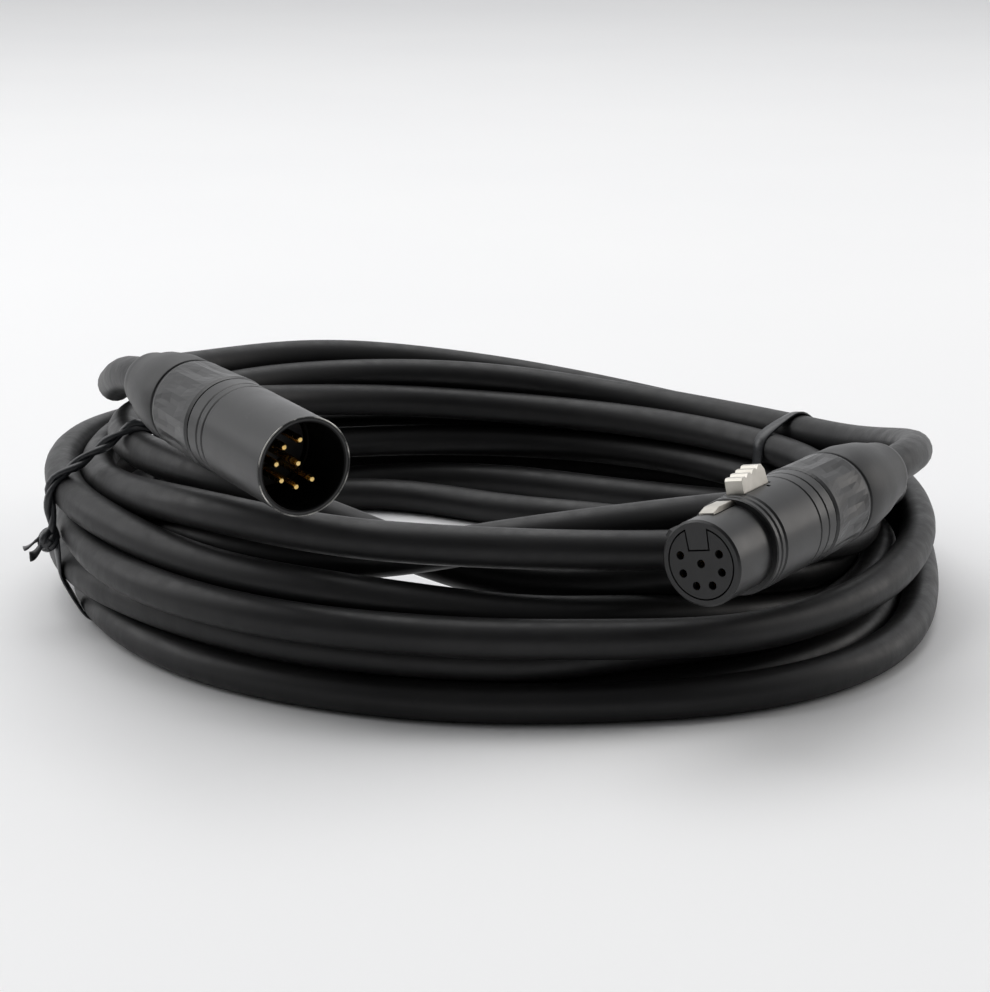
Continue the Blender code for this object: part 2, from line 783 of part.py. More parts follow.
def spring_outline():
    """A leaf spring folded once, between the insert and the lever, as (height, setback) points."""
    base = NOSE_RADIUS - NOSE_WALL
    tip = LATCH_UNDERSIDE - 0.00045
    front = -PAD_START - 0.0010
    rear = front - SPRING_LENGTH
    return [
        (base, rear),
        (base, front - 0.0006),
        (base + SPRING_STRIP, front - 0.0006),
        (base + SPRING_STRIP, rear + SPRING_STRIP * 1.5),
        (tip - SPRING_STRIP, front),
        (tip, front - SPRING_STRIP * 0.5),
        (base + SPRING_STRIP * 2.4, rear - SPRING_STRIP),
    ]


def cross_pin_mesh(radius, half_length, segments=12):
    bm = turned_mesh(lathe_circle(radius, -half_length, half_length), segments)
    turn = Matrix.Translation(PIVOT) @ Matrix.Rotation(math.pi / 2, 4, "Y")
    bmesh.ops.transform(bm, matrix=turn, verts=bm.verts)
    return bm


def build_female_shell(axis, materials):
    housing = materials["housing"]
    shell = turned("female_shell", female_shell_profile(), housing, axis)
    rim = NOSE_RADIUS - NOSE_WALL / 2
    tab = prism_mesh(key_outline(KEY_WIDTH, KEY_INNER, rim), -KEY_DEPTH, 0.0, "z")
    boolean(shell, tab, "UNION", "key_tab", housing)
    rib = box_mesh((-0.0008, NOSE_RADIUS - 0.0006, -0.0032), (0.0008, NOSE_RADIUS + 0.0006, -0.0006))
    bmesh.ops.rotate(rib, verts=rib.verts, cent=(0.0, 0.0, 0.0), matrix=Matrix.Rotation(RIB_ANGLE, 3, "Z"))
    boolean(shell, rib, "UNION", "rib", housing)
    thin = TONGUE_WIDTH / 2 + CLEARANCE
    broad = PAD_WIDTH / 2 + CLEARANCE
    through = (NOSE_RADIUS - NOSE_WALL) * 0.89
    floor = FEMALE_NECK_RADIUS - NECK_WALL + 0.00055
    bridge = FLANGE_RADIUS - BRIDGE
    above = PAD_TOP + 0.001
    front = TONGUE_FRONT - CLEARANCE
    flange_rear = NOSE_LENGTH + FLANGE_LENGTH
    bore_rear = INSERT_LENGTH + 0.0003
    rear = PAD_REAR + 2 * CLEARANCE
    slots = (
        ("tunnel", thin, through, bridge, front, flange_rear + 0.0005),
        ("nose_slot", thin, bridge - 0.0002, above, front, NOSE_LENGTH),
        ("pad_slot", broad, through, above, flange_rear, bore_rear),
        ("rear_slot", broad, floor, above, bore_rear - 0.0004, rear),
    )
    for label, half, low, high, near, far in slots:
        boolean(shell, box_mesh((-half, low, -far), (half, high, -near)), "DIFFERENCE", label, housing)
    drill = cross_pin_mesh(PIVOT_RADIUS + CLEARANCE, PAD_WIDTH / 2 + 0.0013)
    boolean(shell, drill, "DIFFERENCE", "pivot_bore", housing)


def build_female_insert(axis, materials):
    plastic = materials["insert"]
    radius = NOSE_RADIUS - NOSE_WALL - CLEARANCE
    insert = turned("female_insert", lathe_circle(radius, -INSERT_LENGTH, 0.0), plastic, axis)
    slot_width = KEY_WIDTH + 2 * CLEARANCE
    notch = prism_mesh(
        key_outline(slot_width, KEY_INNER - CLEARANCE, radius + 0.002),
        -KEY_DEPTH - CLEARANCE,
        0.002,
        "z",
    )
    boolean(insert, notch, "DIFFERENCE", "key_notch", plastic)
    contact_radius = PIN_RADIUS + 0.00040
    for k, (distance, angle) in enumerate(contact_places()):
        x, y = polar(distance, angle)
        drill = turned_mesh(
            [
                (0.0, 0.001),
                (PIN_RADIUS + 0.0001, 0.001),
                (PIN_RADIUS + 0.0001, -CONTACT_FRONT + CLEARANCE),
                (contact_radius + CLEARANCE, -CONTACT_FRONT + CLEARANCE),
                (contact_radius + CLEARANCE, -0.03),
                (0.0, -0.03),
            ],
            12,
        )
        boolean(insert, shifted(drill, x, y), "DIFFERENCE", f"hole_{k + 1}", plastic)
        contact = turned(
            f"female_contact_{k + 1}",
            [
                (0.0, -CONTACT_FRONT - 0.014),
                (PIN_RADIUS + 0.00005, -CONTACT_FRONT - 0.014),
                (PIN_RADIUS + 0.00005, -CONTACT_FRONT),
                (contact_radius, -CONTACT_FRONT),
                (contact_radius, -CONTACT_REAR + 0.004),
                (PIN_RADIUS, -CONTACT_REAR + 0.0035),
                (PIN_RADIUS, -CONTACT_REAR),
                (0.0, -CONTACT_REAR),
            ],
            materials["gold"],
            axis,
            segments=10,
        )
        contact.location = (x, y, 0.0)


def build_latch(axis, materials):
    """The lever turns on a cross pin at its rear. A leaf spring holds it up."""
    nickel = materials["nickel"]
    pad_half = PAD_WIDTH / 2
    tongue_half = TONGUE_WIDTH / 2
    pad = shifted(prism_mesh(pad_outline(), -pad_half, pad_half, "x"), *-PIVOT)
    lever = mesh_object("latch_lever", pad, nickel, axis)
    lever.location = PIVOT
    boolean(lever, prism_mesh(tongue_outline(), -tongue_half, tongue_half, "x"), "UNION", "tongue", nickel)
    bore = cross_pin_mesh(PIVOT_RADIUS + CLEARANCE, pad_half + 0.001)
    boolean(lever, bore, "DIFFERENCE", "pivot_bore", nickel)
    mesh_object("latch_pin", cross_pin_mesh(PIVOT_RADIUS, pad_half + 0.0009, 10), nickel, axis)
    leaf = prism_mesh(spring_outline(), -SPRING_WIDTH / 2, SPRING_WIDTH / 2, "x")
    mesh_object("latch_spring", leaf, nickel, axis)


def build_female(materials):
    axis = plug_empty("female_axis", FEMALE_MATRIX)
    build_female_shell(axis, materials)
    build_female_insert(axis, materials)
    build_latch(axis, materials)
    build_wires("female", axis, CONTACT_REAR, materials)
    build_rear(
        "female",
        axis,
        (FEMALE_SHELL_RADIUS, FEMALE_SHELL_LENGTH),
        FEMALE_NECK_RADIUS,
        FEMALE_BUSHING_LENGTH,
        (FEMALE_BOOT_LENGTH, FEMALE_SHELL_RADIUS - FEMALE_BOOT_DROP),
        FEMALE_JACKET_END,
        materials,
    )


def make_materials():
    return {
        "cable": make_material("cable_jacket", (0.020, 0.020, 0.021), 0.55),
        "tie": make_material("tie_ribbon", (0.015, 0.016, 0.018), 0.35),
        "housing": make_material("black_housing", (0.018, 0.018, 0.019), 0.38),
        "boot": make_material("boot_rubber", (0.022, 0.022, 0.023), 0.50),
        "insert": make_material("black_insert", (0.016, 0.016, 0.017), 0.45),
        "chuck": make_material("chuck_plastic", (0.030, 0.030, 0.032), 0.50),
        "gold": make_material("gold_contact", (0.80, 0.58, 0.22), 0.22, 1.0),
        "nickel": make_material("satin_nickel", (0.66, 0.64, 0.60), 0.32, 1.0),
        "wire": make_material("wire_insulation", (0.55, 0.10, 0.08), 0.45),
    }


def main():
    clear_scene()
    materials = make_materials()
    build_coil(materials)
    build_leads(materials)
    build_ties(materials)
    build_male(materials)
    build_female(materials)


main()
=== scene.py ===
"""Looks for the coiled XLR cable: the wound cable, its ties, both plugs, materials, light and camera."""

import json
import math

import bmesh
import bpy
import numpy as np
from mathutils import Matrix, Vector


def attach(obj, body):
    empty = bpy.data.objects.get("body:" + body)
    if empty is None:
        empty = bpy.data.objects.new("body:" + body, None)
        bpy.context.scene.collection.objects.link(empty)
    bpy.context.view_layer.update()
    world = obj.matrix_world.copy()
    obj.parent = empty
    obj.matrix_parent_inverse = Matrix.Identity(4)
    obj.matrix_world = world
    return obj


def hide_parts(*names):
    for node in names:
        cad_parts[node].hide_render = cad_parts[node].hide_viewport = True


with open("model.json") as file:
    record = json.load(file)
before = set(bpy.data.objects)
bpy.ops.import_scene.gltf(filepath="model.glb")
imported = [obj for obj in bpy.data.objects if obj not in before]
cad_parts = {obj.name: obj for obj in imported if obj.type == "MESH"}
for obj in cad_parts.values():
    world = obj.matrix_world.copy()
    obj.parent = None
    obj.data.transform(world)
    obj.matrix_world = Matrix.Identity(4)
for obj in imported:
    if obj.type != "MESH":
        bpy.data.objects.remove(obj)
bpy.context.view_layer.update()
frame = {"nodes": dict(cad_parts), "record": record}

# ---- the camera, as the photograph was taken
CAMERA_PLACE = (0.0043, -0.5437, 0.1681)
CAMERA_DOWN = math.radians(15.0)
CAMERA_LENS = 90.9
SENSOR = 36.0

# ---- the cable, in metres
CABLE_RADIUS = 0.0040
COIL_CENTRE = Vector((0.0025, 0.0087, 0.0))
RING_STEP = 0.0036
TUBE_SIDES = 20

# ---- the plugs, in metres
MALE_MOUTH = Vector((-0.03067, -0.09941, 0.0546))
MALE_YAW = math.radians(31.6)
MALE_PITCH = math.radians(-2.8)
MALE_ROLL = math.radians(72.5)
MALE_LENGTH = 0.0688
MALE_JACKET_END = 0.0359
FEMALE_MOUTH = Vector((0.04209, -0.10394, 0.03735))
FEMALE_YAW = math.radians(-34.8)
FEMALE_PITCH = math.radians(-1.4)
FEMALE_ROLL = math.radians(-11.0)
FEMALE_LENGTH = 0.0737
FEMALE_JACKET_END = 0.0340
# Inside this radius from the male plug's axis, blended over the next distance, the shell gets painted shade
SOCKET_RADIUS = 0.00865
SOCKET_SHADE_BLEND = 0.0002


def plug_matrix(mouth, yaw, pitch, roll):
    """Local +Z points out of the mouth and local +Y is the key side, as in the CAD."""
    ahead = Vector((math.sin(yaw), -math.cos(yaw), 0.0))
    forward = ahead * math.cos(pitch) + Vector((0.0, 0.0, math.sin(pitch)))
    up = (Vector((0.0, 0.0, 1.0)) - forward * forward.z).normalized()
    side = up.cross(forward)
    key = math.cos(roll) * up + math.sin(roll) * side
    turn = Matrix((key.cross(forward), key, forward)).transposed()
    return Matrix.Translation(mouth) @ turn.to_4x4()


MALE = plug_matrix(MALE_MOUTH, MALE_YAW, MALE_PITCH, MALE_ROLL)
FEMALE = plug_matrix(FEMALE_MOUTH, FEMALE_YAW, FEMALE_PITCH, FEMALE_ROLL)

# ---------------------------------------------------------------- the looks


class Shading:
    """One procedural material. Each method adds nodes and returns the socket it makes."""

    def __init__(self, name):
        self.material = bpy.data.materials.new(name)
        self.material.use_nodes = True
        self.nodes = self.material.node_tree.nodes
        self.links = self.material.node_tree.links
        self.shader = self.nodes["Principled BSDF"]
        self.place = self.nodes.new("ShaderNodeTexCoord").outputs["Object"]

    def set(self, **values):
        for name, value in values.items():
            self.shader.inputs[name.replace("_", " ")].default_value = value
        return self

    def link(self, source, name):
        self.links.new(source, self.shader.inputs[name])
        return self

    def noise(self, scale, detail=4.0, rough=0.55, stretch=None):
        source = self.place
        if stretch:
            mapping = self.nodes.new("ShaderNodeMapping")
            mapping.inputs["Scale"].default_value = stretch
            self.links.new(source, mapping.inputs["Vector"])
            source = mapping.outputs["Vector"]
        node = self.nodes.new("ShaderNodeTexNoise")
        node.inputs["Scale"].default_value = scale
        node.inputs["Detail"].default_value = detail
        node.inputs["Roughness"].default_value = rough
        self.links.new(source, node.inputs["Vector"])
        return node.outputs["Fac"]

    def ramp(self, factor, *stops):
        node = self.nodes.new("ShaderNodeValToRGB")
        elements = node.color_ramp.elements
        while len(elements) < len(stops):
            elements.new(0.5)
        for element, (position, colour) in zip(elements, stops):
            element.position = position
            element.color = (*colour, 1.0)
        self.links.new(factor, node.inputs["Fac"])
        return node.outputs["Color"]

    def span(self, factor, low, high, from_low=0.0, from_high=1.0):
        node = self.nodes.new("ShaderNodeMapRange")
        node.inputs["From Min"].default_value = from_low
        node.inputs["From Max"].default_value = from_high
        node.inputs["To Min"].default_value = low
        node.inputs["To Max"].default_value = high
        self.links.new(factor, node.inputs["Value"])
        return node.outputs["Result"]

    def math(self, operation, first, second):
        node = self.nodes.new("ShaderNodeMath")
        node.operation = operation
        for socket, value in zip(node.inputs, (first, second)):
            if isinstance(value, (int, float)):
                socket.default_value = value
            else:
                self.links.new(value, socket)
        return node.outputs["Value"]

    def mix(self, factor, first, second):
        node = self.nodes.new("ShaderNodeMix")
        node.data_type = "RGBA"
        self.links.new(factor, node.inputs["Factor"])
        for socket, value in ((node.inputs[6], first), (node.inputs[7], second)):
            if isinstance(value, tuple):
                socket.default_value = (*value, 1.0)
            else:
                self.links.new(value, socket)
        return node.outputs[2]

    def bump(self, height, strength, distance):
        node = self.nodes.new("ShaderNodeBump")
        node.inputs["Strength"].default_value = strength
        node.inputs["Distance"].default_value = distance
        self.links.new(height, node.inputs["Height"])
        self.links.new(node.outputs["Normal"], self.shader.inputs["Normal"])
        return self

    def off_axis(self, matrix):
        """The distance from a plug's axis, in metres."""
        arm = self.nodes.new("ShaderNodeVectorMath")
        arm.operation = "SUBTRACT"
        arm.inputs[1].default_value = matrix.translation
        self.links.new(self.place, arm.inputs[0])
        cross = self.nodes.new("ShaderNodeVectorMath")
        cross.operation = "CROSS_PRODUCT"
        cross.inputs[1].default_value = matrix.col[2].to_3d()
        self.links.new(arm.outputs["Vector"], cross.inputs[0])
        length = self.nodes.new("ShaderNodeVectorMath")
        length.operation = "LENGTH"
        self.links.new(cross.outputs["Vector"], length.inputs[0])
        return length.outputs["Value"]


def jacket_material():
    s = Shading("cable_jacket_look")
    broad = s.noise(38.0, 3.0)
    fine = s.noise(1500.0, 3.0, 0.6)
    scuff = s.noise(260.0, 5.0, 0.7, stretch=(1.0, 1.0, 0.35))
    base = s.ramp(broad, (0.30, (0.0062, 0.0062, 0.0068)), (0.72, (0.0120, 0.0116, 0.0120)))
    dust = s.ramp(scuff, (0.62, (0.0, 0.0, 0.0)), (0.80, (0.30, 0.30, 0.30)))
    s.link(s.mix(dust, base, (0.030, 0.030, 0.031)), "Base Color")
    s.link(s.span(scuff, 0.38, 0.56, 0.3, 0.7), "Roughness")
    s.set(Specular_IOR_Level=0.34)
    s.bump(s.math("ADD", fine, s.math("MULTIPLY", broad, 2.0)), 0.18, 0.00012)
    return s.material


def ribbon_material():
    s = Shading("tie_ribbon_look")
    weave = s.noise(900.0, 2.0, 0.5, stretch=(1.0, 1.0, 3.0))
    s.link(s.ramp(weave, (0.3, (0.010, 0.011, 0.013)), (0.8, (0.030, 0.032, 0.036))), "Base Color")
    s.link(s.span(weave, 0.28, 0.46), "Roughness")
    s.set(Specular_IOR_Level=0.6)
    s.bump(weave, 0.25, 0.0001)
    return s.material


def housing_material(name="black_housing_look", plug=None):
    """Black satin paint with faint scratches. Inside the socket of the given plug, painted shade makes it
    nearly black and cuts its reflection.
    """
    s = Shading(name)
    grain = s.noise(2600.0, 2.0, 0.5)
    cloud = s.noise(120.0, 4.0, 0.6)
    base = s.ramp(cloud, (0.3, (0.006, 0.006, 0.0065)), (0.75, (0.011, 0.011, 0.0115)))
    scratch = s.noise(420.0, 5.0, 0.75, stretch=(1.0, 0.30, 1.0))
    worn = s.span(scratch, 0.0, 0.45, 0.66, 0.76)
    painted = s.mix(worn, base, (0.060, 0.058, 0.055))
    if plug is None:
        s.link(painted, "Base Color")
        s.set(Specular_IOR_Level=0.48)
    else:
        # painted shade: within the socket radius the colour goes nearly black and the specular drops,
        # standing in for the shade in the recess
        painted_socket_shade = s.span(s.off_axis(plug), 1.0, 0.0, SOCKET_RADIUS, SOCKET_RADIUS + SOCKET_SHADE_BLEND)
        s.link(s.mix(painted_socket_shade, painted, (0.0025, 0.0025, 0.0028)), "Base Color")
        s.link(s.span(painted_socket_shade, 0.48, 0.10), "Specular IOR Level")
    s.link(s.span(cloud, 0.30, 0.42, 0.3, 0.7), "Roughness")
    s.bump(grain, 0.10, 0.00005)
    return s.material


def boot_material():
    s = Shading("boot_look")
    grain = s.noise(1900.0, 3.0, 0.6)
    cloud = s.noise(90.0, 4.0, 0.6)
    s.link(s.ramp(cloud, (0.3, (0.009, 0.009, 0.0095)), (0.75, (0.016, 0.016, 0.0165))), "Base Color")
    s.link(s.span(cloud, 0.40, 0.52, 0.3, 0.7), "Roughness")
    s.bump(grain, 0.22, 0.00008)
    return s.material


def insert_material():
    s = Shading("insert_look")
    cloud = s.noise(300.0, 4.0, 0.6)
    s.link(s.ramp(cloud, (0.3, (0.006, 0.006, 0.0065)), (0.75, (0.013, 0.013, 0.0135))), "Base Color")
    s.link(s.span(cloud, 0.42, 0.55), "Roughness")
    s.bump(cloud, 0.12, 0.00006)
    return s.material


def rim_material():
    """Paint worn through to bright metal in short stretches."""
    s = Shading("rim_look")
    patch = s.noise(210.0, 4.0, 0.6)
    bare = s.span(patch, 0.0, 1.0, 0.40, 0.56)
    s.link(s.mix(bare, (0.015, 0.015, 0.015), (0.55, 0.54, 0.51)), "Base Color")
    s.link(bare, "Metallic")
    s.link(s.span(patch, 0.22, 0.45), "Roughness")
    s.bump(patch, 0.2, 0.00004)
    return s.material


def gold_material():
    s = Shading("gold_look")
    streak = s.noise(700.0, 3.0, 0.6, stretch=(1.0, 1.0, 0.2))
    s.link(s.ramp(streak, (0.3, (0.78, 0.52, 0.17)), (0.8, (0.92, 0.70, 0.32))), "Base Color")
    s.link(s.span(streak, 0.16, 0.34), "Roughness")
    s.set(Metallic=1.0)
    s.bump(streak, 0.1, 0.00003)
    return s.material


def nickel_material():
    s = Shading("nickel_look")
    streak = s.noise(1300.0, 4.0, 0.6, stretch=(0.25, 1.0, 1.0))
    cloud = s.noise(240.0, 4.0, 0.6)
    s.link(s.ramp(cloud, (0.3, (0.40, 0.38, 0.34)), (0.8, (0.55, 0.53, 0.49))), "Base Color")
    s.link(s.span(streak, 0.26, 0.44), "Roughness")
    s.set(Metallic=1.0)
    s.bump(streak, 0.12, 0.00004)
    return s.material


def plastic_material(name, colour, bright):
    s = Shading(name)
    cloud = s.noise(400.0, 3.0, 0.6)
    s.link(s.ramp(cloud, (0.3, colour), (0.8, bright)), "Base Color")
    s.link(s.span(cloud, 0.38, 0.55), "Roughness")
    s.bump(cloud, 0.08, 0.00005)
    return s.material


def floor_material():
    s = Shading("floor_look")
    cloud = s.noise(3.0, 3.0)
    s.link(s.ramp(cloud, (0.3, (0.83, 0.83, 0.835)), (0.7, (0.85, 0.85, 0.85))), "Base Color")
    s.set(Roughness=0.75, Specular_IOR_Level=0.25)
    return s.material


LOOKS = {
    "rim_wear": rim_material(),
    # the male shell's look has painted shade inside its socket
    "male_shell": housing_material("male_shell_painted_socket_shade_look", MALE),
    "cable_jacket": jacket_material(),
    "tie_ribbon": ribbon_material(),
    "black_housing": housing_material(),
    "boot_rubber": boot_material(),
    "black_insert": insert_material(),
    "gold_contact": gold_material(),
    "satin_nickel": nickel_material(),
    "chuck_plastic": plastic_material("chuck_look", (0.03, 0.03, 0.032), (0.05, 0.05, 0.052)),
    "wire_insulation": plastic_material("wire_look", (0.45, 0.07, 0.05), (0.60, 0.12, 0.09)),
}


def finish_nodes():
    """Every CAD node that stays gets its slot's look; the male shell gets a look with painted shade inside
    its socket.
    """
    slots = {row["node"]: row["material_slot"] for row in frame["record"]["subparts"]}
    for name, obj in frame["nodes"].items():
        look = LOOKS["male_shell" if name == "male_shell" else slots[name]]
        if obj.material_slots:
            for entry in obj.material_slots:
                entry.material = look
        else:
            obj.data.materials.append(look)


# ---------------------------------------------------------------- the CAD nodes' edges

WELD_DISTANCE = 0.000002
SHARP_EDGE = math.radians(32.0)
BEVEL_EDGE = math.radians(38.0)
EDGE_WIDTHS = {
    "latch_lever": 0.00018,
    "male_shell": 0.00022,
    "female_shell": 0.00018,
    "male_bushing": 0.0001,
    "female_bushing": 0.0001,
    "male_boot": 0.0003,
    "female_boot": 0.0003,
}


def smoothing_group():
    """Joins the CAD triangles and shades them smooth, with the sharper edges kept sharp."""
    group = bpy.data.node_groups.new("smooth_cad", "GeometryNodeTree")
    group.interface.new_socket("Geometry", in_out="INPUT", socket_type="NodeSocketGeometry")
    group.interface.new_socket("Geometry", in_out="OUTPUT", socket_type="NodeSocketGeometry")
    new, link = group.nodes.new, group.links.new
    flow = new("NodeGroupInput").outputs[0]
    weld = new("GeometryNodeMergeByDistance")
    weld.inputs["Distance"].default_value = WELD_DISTANCE
    link(flow, weld.inputs["Geometry"])
    flow = weld.outputs[0]
    drop = new("GeometryNodeRemoveAttribute")
    drop.inputs["Name"].default_value = "custom_normal"
    link(flow, drop.inputs["Geometry"])
    flow = drop.outputs[0]
    for domain, smooth in (("FACE", True), ("EDGE", True), ("EDGE", False)):
        shade = new("GeometryNodeSetShadeSmooth")
        shade.domain = domain
        shade.inputs["Shade Smooth"].default_value = smooth
        if not smooth:
            over = new("FunctionNodeCompare")
            over.data_type = "FLOAT"
            over.operation = "GREATER_THAN"
            over.inputs[1].default_value = SHARP_EDGE
            link(new("GeometryNodeInputMeshEdgeAngle").outputs["Unsigned Angle"], over.inputs[0])
            link(over.outputs[0], shade.inputs["Selection"])
        link(flow, shade.inputs["Geometry"])
        flow = shade.outputs[0]
    link(flow, new("NodeGroupOutput").inputs[0])
    return group


def soften_nodes():
    """Smooth round walls, and small rounded edges that catch the light. The flutes stay crisp."""
    group = smoothing_group()
    for name, obj in frame["nodes"].items():
        if name.startswith(("male", "female", "latch")) and not name.endswith(("_lead", "_bushing")):
            obj.modifiers.new("smooth", "NODES").node_group = group
    for name, width in EDGE_WIDTHS.items():
        bevel = frame["nodes"][name].modifiers.new("edge", "BEVEL")
        bevel.width = width
        bevel.segments = 2
        bevel.limit_method = "ANGLE"
        bevel.angle_limit = BEVEL_EDGE


# ---------------------------------------------------------------- the wound cable

STATIONS = (198.0, 140.0, 90.0, 36.0, -15.0, -50.0, -90.0, -130.0)

# One row for each turn, in the order of winding from the male plug, with one pair for each station:
# the radius and the height, in millimetres, where the turn lies there.
TURNS = (
    (
        None, (95.0, 37.0), (94.3, 29.3), (95.8, 20.6),
        (97.0, 16.5), (96.6, 13.8), (95.7, 17.0), (96.0, 19.5),
    ),
    (
        (93.6, 21.6), (95.0, 18.0), (96.3, 14.0), (96.0, 12.4),
        (99.0, 5.0), (104.0, 4.0), (94.5, 4.0), (90.5, 4.0),
    ),
    (
        (90.0, 5.0), (87.0, 4.0), (76.5, 4.0), (82.2, 4.4),
        (89.5, 11.0), (89.3, 9.6), (91.5, 10.5), (90.0, 12.0),
    ),
    (
        (95.0, 13.0), (94.5, 9.5), (93.5, 5.5), (95.8, 4.2),
        (90.5, 4.0), (94.5, 4.0), (86.0, 4.0), (82.0, 4.0),
    ),
    (
        (82.0, 5.0), (79.5, 4.5), (49.0, 4.0), (52.5, 4.0),
        (82.0, 5.5), (84.0, 12.5), (88.5, 20.2), (90.5, 24.4),
    ),
    (
        (94.6, 29.3), (93.2, 27.5), (90.5, 21.0), (89.0, 15.5),
        (89.0, 26.0), (80.0, 33.5), (79.0, 32.0), (82.0, 27.2),
    ),
    (
        (81.5, 22.0), (83.0, 16.5), (82.0, 13.0), (82.2, 12.5),
        (82.0, 14.0), (81.0, 18.0), (75.4, 23.6), (77.0, 37.5),
    ),
    (
        (80.5, 38.0), (82.5, 31.0), (82.0, 23.0), (82.0, 20.6),
        (85.5, 19.8), (88.5, 28.0), (87.0, 33.0), (86.0, 34.8),
    ),
    (
        (87.3, 31.0), (87.0, 31.5), (86.3, 28.4), (89.0, 23.6),
        None, None, None, None,
    ),
)

# Places between the stations where a turn strays, as (turn, angle, radius, height).
STRAYS = (
    (0, 118.0, 94.6, 35.6),
    (0, 62.0, 95.2, 22.6),
    (1, -37.0, 103.4, 4.0),
    (1, -58.0, 102.2, 4.0),
    (2, 105.0, 80.5, 4.0),
    (2, 75.0, 71.8, 4.0),
    (2, 60.0, 70.5, 4.0),
    (2, 46.0, 75.0, 4.0),
    (4, 120.0, 72.0, 4.0),
    (4, 105.0, 61.0, 4.0),
    (4, 62.0, 46.5, 4.0),
    (4, 10.0, 67.0, 4.0),
    (4, -110.0, 90.0, 23.4),
    (5, -103.0, 79.3, 28.6),
    (5, -115.0, 80.0, 26.0),
    (6, -70.0, 78.5, 20.8),
    (6, -110.0, 72.4, 30.6),
    (7, -110.0, 86.0, 33.6),
    (8, 62.0, 87.3, 24.0),
)

# The free stretch at each plug, as (angle in degrees, radius, height in millimetres).
MALE_LEAD = (
    (196.0, 82.8, 52.2),
    (188.0, 83.2, 49.0),
    (179.0, 84.4, 46.2),
    (168.0, 87.5, 43.2),
    (155.0, 91.5, 40.2),
)
FEMALE_LEAD = (
    (18.0, 91.5, 25.8),
    (3.0, 94.0, 31.0),
    (-9.0, 96.2, 35.0),
    (-18.0, 96.8, 37.8),
)

# Hand winding leaves a slow, small wander in the radius, as (millimetres, waves in a turn, phase).
WANDERS = ((0.45, 2.31, 0.7), (0.25, 5.17, 2.0))
MM_PER_M = 1000.0
DEGREES_PER_RADIAN = 57.3
ROUTE_STEP_DEGREES = 1.5

# The straight stretch in each plug, which runs on past the boot, and the curve that joins it to the coil.
PLUG_POINTS = 12
STRAIGHT_RUN = 0.003
HELD_RUN = 0.004
BRIDGE_POINTS = 24

# How the turns settle on each other. After the early share of the rounds, the pull back is weak.
SETTLE_ROUNDS = 260
EARLY_SHARE = 0.6
STRAND_ROOM = 2 * CABLE_RADIUS + 0.00005
SEARCH_ROOM = 0.004
SEARCH_EVERY = 10
SKIPPED_POINTS = int(3.0 * STRAND_ROOM / RING_STEP) + 2
EARLY_PULL = 0.03
LATE_PULL = 0.004
STIFFENINGS = 2


def polar_points():
    """The whole route as (unwrapped angle, radius, height), from the male lead to the female lead."""
    route = list(MALE_LEAD)
    for turn, row in enumerate(TURNS):
        for station, seat in zip(STATIONS, row):
            if seat:
                route.append((station - 360.0 * turn, *seat))
    route += [(angle - 360.0 * turn, radius, height) for turn, angle, radius, height in STRAYS]
    last = len(TURNS) - 1
    route += [(angle - 360.0 * last, radius, height) for angle, radius, height in FEMALE_LEAD]
    return np.array(sorted(route, reverse=True))


def hermite(t, start, leaving, end, arriving):
    """The cubic from start to end with the given slopes at its ends."""
    return (
        (2 * t**3 - 3 * t**2 + 1) * start
        + (t**3 - 2 * t**2 + t) * leaving
        + (3 * t**2 - 2 * t**3) * end
        + (t**3 - t**2) * arriving
    )


def smooth_values(knots, values, wanted):
    """A smooth curve through the values at the knots, read at the wanted places."""
    gaps = np.diff(knots)
    slopes = np.diff(values) / gaps
    share = gaps[1:] / (gaps[:-1] + gaps[1:])
    middle = slopes[:-1] * share + slopes[1:] * (1 - share)
    tangents = np.concatenate([slopes[:1], middle, slopes[-1:]])
    k = np.clip(np.searchsorted(knots, wanted) - 1, 0, len(gaps) - 1)
    t = (wanted - knots[k]) / gaps[k]
    return hermite(t, values[k], gaps[k] * tangents[k], values[k + 1], gaps[k] * tangents[k + 1])


def even(points, step):
    """The same line, read again at an even step."""
    lengths = np.concatenate([[0.0], np.cumsum(np.linalg.norm(np.diff(points, axis=0), axis=1))])
    count = int(round(lengths[-1] / step))
    wanted = np.linspace(0.0, lengths[-1], count + 1)
    return np.stack([np.interp(wanted, lengths, points[:, k]) for k in range(3)], axis=1)


def plug_line(matrix, start, end):
    """Evenly spaced points on a plug's axis, between two distances behind its mouth."""
    depths = [start + (end - start) * k / (PLUG_POINTS - 1) for k in range(PLUG_POINTS)]
    return np.array([matrix @ Vector((0.0, 0.0, -depth)) for depth in depths])


def drawn_route():
    """Straight through the male plug, down its lead, round the coil, and up into the female plug."""
    polar = polar_points()
    order = -polar[:, 0]
    wanted = np.arange(order[0], order[-1], ROUTE_STEP_DEGREES)
    radius = smooth_values(order, polar[:, 1], wanted)
    height = smooth_values(order, polar[:, 2], wanted)
    for size, waves, phase in WANDERS:
        radius = radius + size * np.sin(wanted / DEGREES_PER_RADIAN * waves + phase)
    angle = np.radians(-wanted)
    around = np.stack([np.cos(angle) * radius, np.sin(angle) * radius, height], axis=1)
    coil = np.array(COIL_CENTRE) + around / MM_PER_M
    start = plug_line(MALE, MALE_JACKET_END, MALE_LENGTH + STRAIGHT_RUN)
    end = plug_line(FEMALE, FEMALE_LENGTH + STRAIGHT_RUN, FEMALE_JACKET_END)
    return start, coil, end


